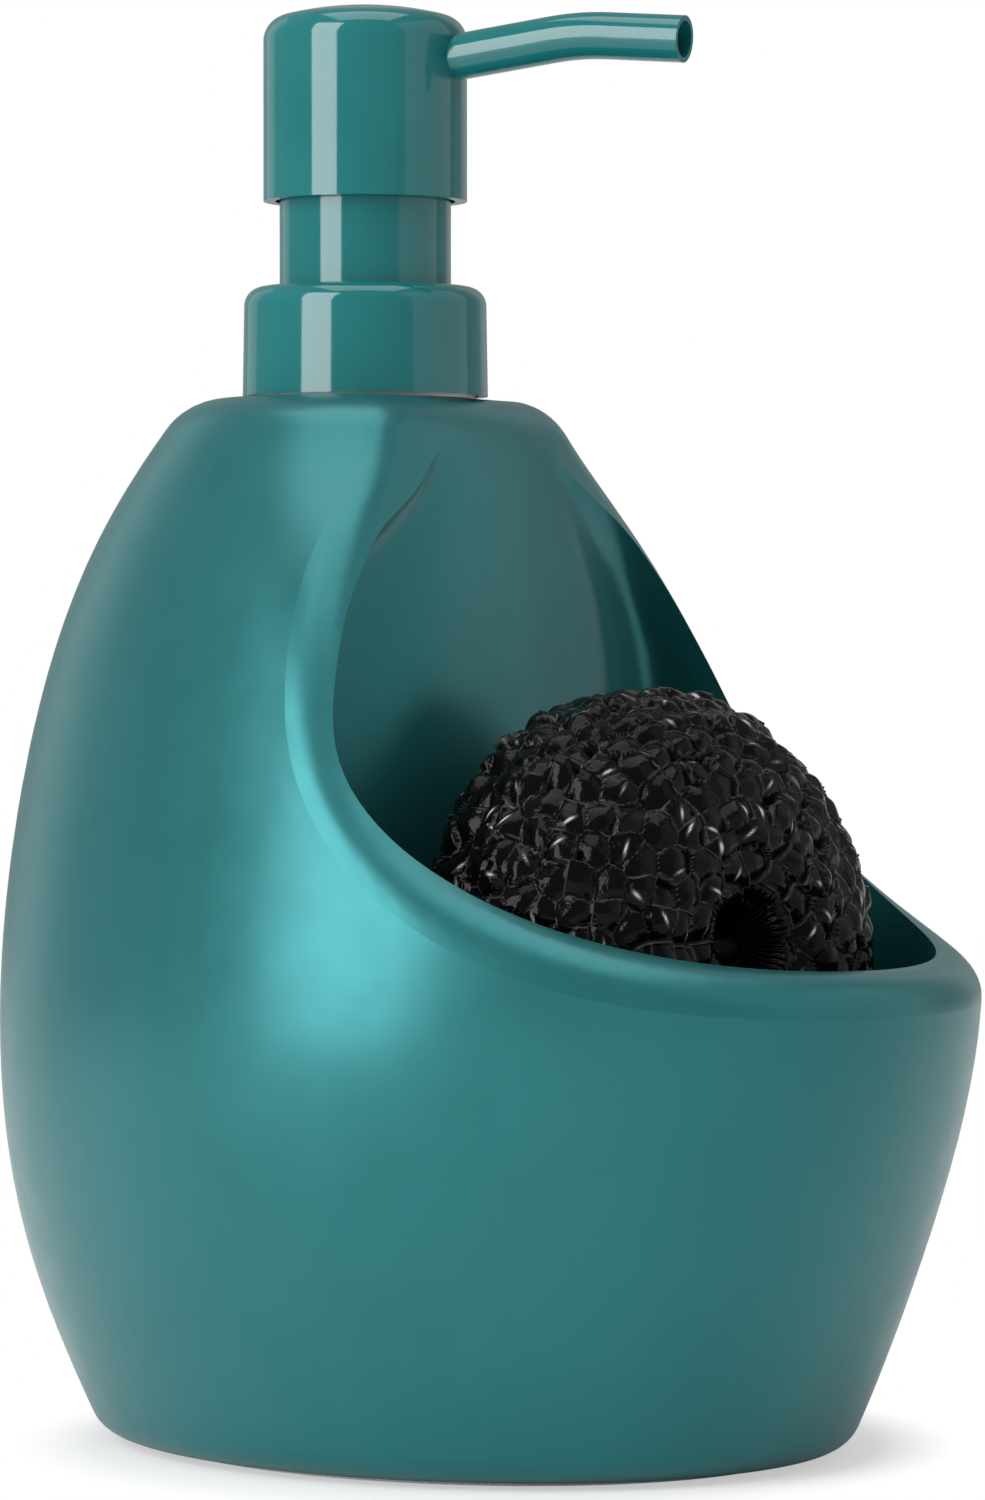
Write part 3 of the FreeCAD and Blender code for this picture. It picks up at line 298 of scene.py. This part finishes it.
def bowed(start, end, radius, count=60):
    """Points of an arc that bows outwards, from start to end, by its radius."""
    start, end = np.array(start), np.array(end)
    chord = end - start
    length = np.linalg.norm(chord)
    inward = np.array([chord[1], -chord[0]]) / length
    centre = (start + end) / 2 + inward * math.sqrt(radius ** 2 - length ** 2 / 4)
    first, last = (math.atan2(*(spot - centre)[::-1]) for spot in (start, end))
    angles = np.linspace(first, last, count)
    return centre + radius * np.stack([np.cos(angles), np.sin(angles)], axis=-1)


def scrubber_profile():
    """Radius and depth of the scrubber's half section, by the length along it from the front gather.

    An arc rises from the gather to the crown, a wider one falls to the rim, and the back mirrors
    the front.
    """
    gather, crown = (GATHER_RADIUS, GATHER_DEPTH), (CROWN_RADIUS, CROWN_DEPTH)
    rim = (RIM_RADIUS, RIM_DEPTH)
    front = np.concatenate([bowed(gather, crown, CROWN_ARC), bowed(crown, rim, RIM_ARC)[1:]])
    line = np.concatenate([front, front[::-1] * (1, -1)])
    length = np.concatenate([[0], np.cumsum(np.linalg.norm(np.diff(line, axis=0), axis=1))])
    return length, line[:, 0], line[:, 1]


PROFILE_LENGTH, PROFILE_RADIUS, PROFILE_DEPTH = scrubber_profile()
SKIN_LENGTH = PROFILE_LENGTH[-1]


def scrubber_point(along, turn):
    """A point of the scrubber's smooth skin: its profile at a length, turned about the gathers' axis."""
    radius = np.interp(along, PROFILE_LENGTH, PROFILE_RADIUS)[..., None]
    depth = np.interp(along, PROFILE_LENGTH, PROFILE_DEPTH)[..., None]
    round_way = SCRUB_RIGHT * np.cos(turn)[..., None] + SCRUB_UP * np.sin(turn)[..., None]
    return SCRUB_CENTRE + round_way * radius + SCRUB_AHEAD * depth


def scrubber_frame(along, turn):
    """Outward normal, direction along the profile and direction round the axis, from differences."""
    step = 0.0012
    line = scrubber_point(along + step, turn) - scrubber_point(along - step, turn)
    line /= np.linalg.norm(line, axis=-1, keepdims=True)
    circle = SCRUB_UP * np.cos(turn)[..., None] - SCRUB_RIGHT * np.sin(turn)[..., None]
    return np.cross(line, circle), line, circle


def cell_middles(seed):
    """Middles of the knitted cells: rows along the profile, shifted by half a cell, a little astray."""
    rows = int(SKIN_LENGTH / CELL_HIGH)
    heights = (np.arange(rows) + 0.5) * SKIN_LENGTH / rows
    girth = 2 * np.pi * np.interp(heights, PROFILE_LENGTH, PROFILE_RADIUS)
    counts = np.maximum(FEWEST_IN_ROW, np.round(girth / CELL_WIDE)).astype(int)
    row = np.repeat(np.arange(rows), counts)
    place = np.arange(len(row)) - np.repeat(np.cumsum(counts) - counts, counts)
    stray = seed.normal(0, CELL_STRAY, len(row))
    turn = (place + 0.5 * (row % 2) + stray) * 2 * np.pi / counts[row]
    along = heights[row] + seed.normal(0, CELL_STRAY, len(row)) * CELL_HIGH
    return along, turn


def knitted_skin(rows=301, columns=560):
    """The knitted ribbon: points, and marks for seams and painted glints, over a grid of lengths along the
    profile and turns.

    Each grid point belongs to the nearest cell by a distance counted in cell widths and heights.
    A cell is a small tilted, twisted pillow. Where the nearest two cells are about as far, thin seams
    stand up, by a bell curve of the difference. Some cells have a short pale streak, a painted glint that
    stands in for a sparkle of light, a bell curve across and along a line of its own. Near a gather the
    cells fade into radial pleats, a sine of the turn.
    """
    seed = np.random.default_rng(11)
    cell_along, cell_turn = cell_middles(seed)
    cells = scrubber_point(cell_along, cell_turn)
    number = len(cells)
    tilt = seed.normal(0, CELL_TILT, (number, 2))
    twist = seed.normal(0, CELL_TWIST, number)
    rise = seed.uniform(CELL_LOWEST, CELL_HIGHEST, number)
    # painted glints: pale streaks in the colour that stand in for sparkles of light
    glint_way = seed.uniform(0, np.pi, number)
    glint_off = seed.uniform(-GLINT_SHIFT, GLINT_SHIFT, number)
    glint_mark = seed.uniform(GLINT_WEAKEST, 1.0, number) * (seed.uniform(0, 1, number) < GLINT_SHARE)
    along, turn = np.meshgrid(np.linspace(0, SKIN_LENGTH, rows),
                              np.linspace(0, 2 * np.pi, columns, endpoint=False), indexing="ij")
    points = scrubber_point(along, turn)
    normal, line, circle = scrubber_frame(along, turn)
    lift, seam_and_glint = np.zeros(along.shape), np.zeros(along.shape)
    pick = np.arange(columns)
    for index in range(rows):
        near = np.flatnonzero(np.abs(cell_along - along[index, 0]) < CELL_REACH * CELL_HIGH)
        apart = points[index][:, None, :] - cells[near][None, :, :]
        across = np.einsum("ijk,ik->ij", apart, circle[index]) / CELL_WIDE
        up = np.einsum("ijk,ik->ij", apart, line[index]) / CELL_HIGH
        through = np.einsum("ijk,ik->ij", apart, normal[index]) / CELL_HIGH
        distance = (np.abs(across) ** OUTLINE_POWER + np.abs(up) ** OUTLINE_POWER
                    + np.abs(through) ** OUTLINE_POWER) ** (1 / OUTLINE_POWER)
        order = np.argsort(distance, axis=1)[:, :2]
        first, second = distance[pick, order[:, 0]], distance[pick, order[:, 1]]
        own = near[order[:, 0]]
        u, v = across[pick, order[:, 0]], up[pick, order[:, 0]]
        pillow = rise[own] * (1 - np.minimum(1, first / PILLOW_REACH) ** PILLOW_POWER)
        slant = tilt[own, 0] * u * CELL_WIDE + tilt[own, 1] * v * CELL_HIGH + twist[own] * u * v * 4
        ridge = np.exp(-((second - first) / SEAM_WIDTH) ** 2)
        lift[index] = pillow + slant + SEAM_HEIGHT * ridge
        # the painted glint: a pale streak of colour that stands in for a sparkle of light
        over = u * np.cos(glint_way[own]) + v * np.sin(glint_way[own]) - glint_off[own]
        beside = v * np.cos(glint_way[own]) - u * np.sin(glint_way[own])
        glint = glint_mark[own] * np.exp(-(over / GLINT_WIDTH) ** 2 - (beside / GLINT_LENGTH) ** 2)
        seam_and_glint[index] = np.maximum(SEAM_MARK * ridge, glint)
    from_gather = np.minimum(along, SKIN_LENGTH - along)
    fade = np.clip((from_gather - PLEAT_LENGTH) / PLEAT_FADE, 0, 1)
    fade = fade ** 2 * (3 - 2 * fade)
    waver = 1.4 * np.sin(3 * turn + 1.7) + 1.2 * np.sin(7 * turn)
    pleats = PLEAT_HEIGHT * np.sin(PLEAT_LINES * turn + waver) * np.minimum(1, from_gather / PLEAT_RUN)
    lift = np.clip(lift, RELIEF_LOW, RELIEF_HIGH) * fade + pleats * (1 - fade) - SKIN_INSET
    return points + normal * lift[..., None], seam_and_glint * fade


def knitted_pieces(points, seam_and_glint, material):
    """The knitted skin as two closed meshes, front and back.

    Each is closed in its gather by a shallow cone and from its rim by a cone to the scrubber's middle.
    """
    half = len(seam_and_glint) // 2
    for name, part, way in (("knit_front", slice(0, half + 1), 1), ("knit_back", slice(half, None), -1)):
        sheet, marks = points[part], seam_and_glint[part]
        gather = sheet[0 if way == 1 else -1].mean(axis=0)
        inside = gather + (SCRUB_CENTRE - gather) * GATHER_SINK
        hub = SCRUB_CENTRE + SCRUB_AHEAD * LID_DEPTH * way
        corners = np.concatenate([sheet.reshape(-1, 3), np.stack([inside, hub])[::way]])
        piece = new_piece(name, corners, capped_faces(*marks.shape), "scrubber", material)
        # the mark carries the greyer seams and the painted glints into the ribbon's colour
        shown = piece.data.attributes.new("seam_and_glint", "FLOAT", "POINT")
        shown.data.foreach_set("value", np.append(marks, [0, 0]))
        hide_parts("scrubber")


def gather_tie(material, rows=40, columns=36):
    """The tie in the gathers: a thread-wound plug, a rounded cylinder with a fine screw line round it."""
    height, turn = np.meshgrid(np.linspace(TIE_LAST, -TIE_LAST, rows),
                               np.linspace(0, 2 * np.pi, columns, endpoint=False), indexing="ij")
    end = np.sqrt(np.clip(1 - np.abs(height) ** TIE_SQUARE, 0, 1))
    radius = TIE_RADIUS * end + TIE_THREAD * np.sin(TIE_WINDS * height + turn) * end
    depth = TIE_HALF * height
    round_way = SCRUB_RIGHT * np.cos(turn)[..., None] + SCRUB_UP * np.sin(turn)[..., None]
    points = SCRUB_CENTRE + round_way * radius[..., None] + SCRUB_AHEAD * depth[..., None]
    poles = SCRUB_CENTRE + SCRUB_AHEAD * np.array([[TIE_HALF], [-TIE_HALF]])
    corners = np.concatenate([points.reshape(-1, 3), poles])
    piece = new_piece("gather_tie", corners, capped_faces(rows, columns), "scrubber", material)
    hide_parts("scrubber_tie")


def squeezed_spring(material, rows=421, columns=12):
    """The return spring: a ring carried along a helix.

    The helix keeps its radius about the pump's axis and rises evenly. The ring lies across it, spanned
    by the way out from the axis and the way square to that and to the helix.
    """
    low, high = (np.array(corner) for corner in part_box("return_spring"))
    along = np.linspace(0, 1, rows)[:, None]
    angle = 2 * np.pi * SPRING_TURNS * along
    radius = (high[0] - low[0]) / 2 - SPRING_WIRE
    rise = high[2] - low[2] - 2 * SPRING_WIRE
    slope = rise / (2 * np.pi * SPRING_TURNS * radius)
    outward = np.concatenate([np.cos(angle), np.sin(angle), 0 * angle], axis=1)
    heading = np.concatenate([-np.sin(angle), np.cos(angle), 0 * angle + slope], axis=1)
    heading /= np.linalg.norm(heading, axis=1, keepdims=True)
    upward = np.cross(outward, heading)
    foot = np.array([(low[0] + high[0]) / 2, (low[1] + high[1]) / 2, low[2] + SPRING_WIRE])
    line = foot + outward * radius + along * np.array([[0, 0, rise]])
    turn = np.linspace(0, 2 * np.pi, columns, endpoint=False)[None, :, None]
    ring = outward[:, None] * np.cos(turn) + upward[:, None] * np.sin(turn)
    points = line[:, None] + SPRING_WIRE * ring
    corners = np.concatenate([points.reshape(-1, 3), line[[0, -1]]])
    piece = new_piece("spring_coil", corners, capped_faces(rows, columns), "pump_frame", material)
    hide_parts("return_spring")
    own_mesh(piece)


squeezed_spring(steel)
skin_points, skin_seam_and_glint = knitted_skin()
knitted_pieces(skin_points, skin_seam_and_glint, black_ribbon())
gather_tie(black_thread())


# Studio, in metres, degrees and watts

FLOOR_REACH = 4.0
# Distances from the middle between which the floor turns white, and how white it is within them; the floor
# glows less near the middle, so its darker ring round the base is the real shadow deepened by painted
# shade
WHITE_FROM, WHITE_TO, WHITE_NEAR = 0.053, 0.063, 0.5
WORLD_LIGHT = 0.36

# The photo's view: its turn and dip, where the eye is from the middle, and the lens in picture heights
VIEW_TURN, VIEW_DIP = math.radians(54.5), math.radians(1.21)
EYE_AWAY, EYE_ASIDE, EYE_HEIGHT = 0.770, 0.01655, 0.1094
LENS, SENSOR_HEIGHT = 3.756, 24
TOWARDS = Vector((math.sin(VIEW_TURN), math.cos(VIEW_TURN), 0))
ACROSS = Vector((math.cos(VIEW_TURN), -math.sin(VIEW_TURN), 0))
MIDDLE = Vector((0, 0.019, 0))
LAMP_AIM = Vector((0, 0.019, 0.09))

# Name, degrees to the right of the camera, height, distance, width, length and power of each lamp
LAMPS = [
    ("key_box", -46, 0.55, 1.2, 0.70, 1.2, 18.5),
    ("fill_panel", 80, 0.6, 1.6, 2.2, 2.2, 8),
    ("roof_box", 0, 1.5, 0.15, 1.2, 1.2, 11),
    ("left_edge", -135, 0.3, 1.2, 0.5, 1.4, 0.9),
    ("right_edge", 150, 0.3, 1.2, 0.4, 1.4, 0.3),
]


def floor_finish():
    """A pale floor that shows white away from the object and keeps a soft shadow near it: the real shadow,
    deepened by painted shade where the floor glows less round the base.
    """
    material, tree, principled = shader("pale_floor")
    principled.inputs["Base Color"].default_value = (0.9, 0.9, 0.9, 1)
    principled.inputs["Roughness"].default_value = 0.9
    principled.inputs["Specular IOR Level"].default_value = 0
    place = tree.nodes.new("ShaderNodeTexCoord")
    away = tree.nodes.new("ShaderNodeVectorMath")
    away.operation = "LENGTH"
    tree.links.new(place.outputs["Object"], away.inputs[0])
    # less glow near the middle: painted shade round the base, on top of the real shadow
    whiten = tree.nodes.new("ShaderNodeMapRange")
    whiten.inputs["From Min"].default_value = WHITE_FROM
    whiten.inputs["From Max"].default_value = WHITE_TO
    whiten.inputs["To Min"].default_value = WHITE_NEAR
    whiten.inputs["To Max"].default_value = 1.0
    tree.links.new(away.outputs["Value"], whiten.inputs["Value"])
    path = tree.nodes.new("ShaderNodeLightPath")
    share = tree.nodes.new("ShaderNodeMath")
    share.operation = "MULTIPLY"
    tree.links.new(path.outputs["Is Camera Ray"], share.inputs[0])
    tree.links.new(whiten.outputs["Result"], share.inputs[1])
    glow = tree.nodes.new("ShaderNodeEmission")
    mix = tree.nodes.new("ShaderNodeMixShader")
    tree.links.new(share.outputs["Value"], mix.inputs["Fac"])
    tree.links.new(principled.outputs["BSDF"], mix.inputs[1])
    tree.links.new(glow.outputs["Emission"], mix.inputs[2])
    tree.links.new(mix.outputs["Shader"], tree.nodes["Material Output"].inputs["Surface"])
    return material


def floor():
    """A wide flat floor under the base."""
    mesh = bpy.data.meshes.new("floor")
    corners = [(x * FLOOR_REACH, y * FLOOR_REACH, 0) for x, y in ((-1, -1), (1, -1), (1, 1), (-1, 1))]
    mesh.from_pydata(corners, [], [(0, 1, 2, 3)])
    plane = bpy.data.objects.new("floor", mesh)
    bpy.context.scene.collection.objects.link(plane)
    plane.data.materials.append(floor_finish())


def softbox(name, degrees, height, distance, width, length, power):
    """A soft rectangular lamp, so many degrees to the right of the camera seen from the object."""
    turn = math.radians(degrees)
    spot = LAMP_AIM + (ACROSS * math.sin(turn) - TOWARDS * math.cos(turn)) * distance
    spot.z = height
    data = bpy.data.lights.new(name, "AREA")
    data.shape = "RECTANGLE"
    data.size, data.size_y = width, length
    data.energy = power
    lamp = bpy.data.objects.new(name, data)
    lamp.location = spot
    lamp.rotation_euler = (LAMP_AIM - spot).to_track_quat("-Z", "Y").to_euler()
    bpy.context.scene.collection.objects.link(lamp)


def surroundings():
    """An even white world that shows white to the camera and lights the object less strongly."""
    world = bpy.data.worlds.new("studio")
    bpy.context.scene.world = world
    world.use_nodes = True
    tree = world.node_tree
    background = tree.nodes["Background"]
    background.inputs["Color"].default_value = (1, 1, 1, 1)
    path = tree.nodes.new("ShaderNodeLightPath")
    strength = tree.nodes.new("ShaderNodeMapRange")
    strength.inputs["To Min"].default_value = WORLD_LIGHT
    strength.inputs["To Max"].default_value = 1.0
    tree.links.new(path.outputs["Is Camera Ray"], strength.inputs["Value"])
    tree.links.new(strength.outputs["Result"], background.inputs["Strength"])


def camera():
    """The photo's view: from the left front, a little above the middle, slightly downwards."""
    data = bpy.data.cameras.new("camera")
    data.sensor_fit = "VERTICAL"
    data.sensor_height = SENSOR_HEIGHT
    data.lens = SENSOR_HEIGHT * LENS
    eye = bpy.data.objects.new("camera", data)
    spot = MIDDLE - TOWARDS * EYE_AWAY + ACROSS * EYE_ASIDE
    spot.z = EYE_HEIGHT
    look = TOWARDS * math.cos(VIEW_DIP) - Vector((0, 0, math.sin(VIEW_DIP)))
    eye.location = spot
    eye.rotation_euler = look.to_track_quat("-Z", "Y").to_euler()
    bpy.context.scene.collection.objects.link(eye)
    bpy.context.scene.camera = eye


floor()
for lamp_row in LAMPS:
    softbox(*lamp_row)
surroundings()
camera()
bpy.context.scene.view_settings.view_transform = "Standard"

bpy.context.view_layer.update()
